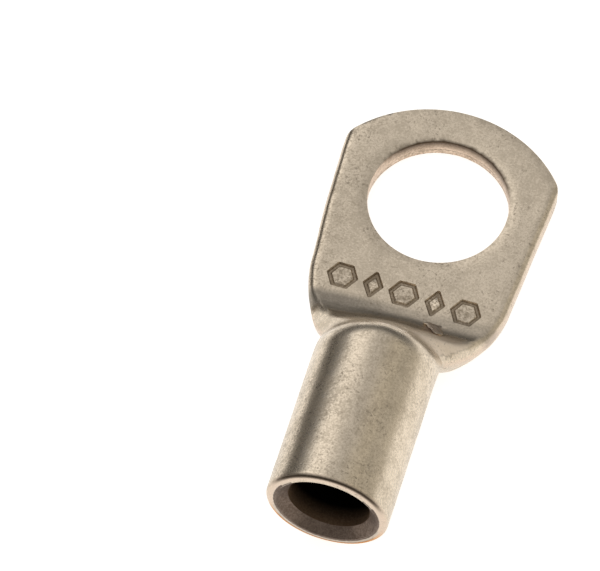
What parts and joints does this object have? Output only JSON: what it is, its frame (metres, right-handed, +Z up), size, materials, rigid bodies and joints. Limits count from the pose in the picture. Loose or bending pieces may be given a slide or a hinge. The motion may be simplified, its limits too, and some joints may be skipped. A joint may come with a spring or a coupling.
{
  "type": "cable lug",
  "caption": "Tubular cable lug in tinned copper: a round crimp barrel whose far end is pressed flat into a wide, round-tipped palm with a stud hole.",
  "frame": {"origin": "centre of the stud hole, on the palm's flat underside", "axes": "+Z up out of the palm, +Y along the lug from the barrel towards the palm's tip, +X to the right of that"},
  "size_m": [0.01, 0.0228, 0.0055],
  "materials": {
    "tinned_copper": "tin-plated copper, fine matt grain, warm grey"
  },
  "bodies": {
    "root": {"lug": "tinned_copper"}
  },
  "joints": []
}
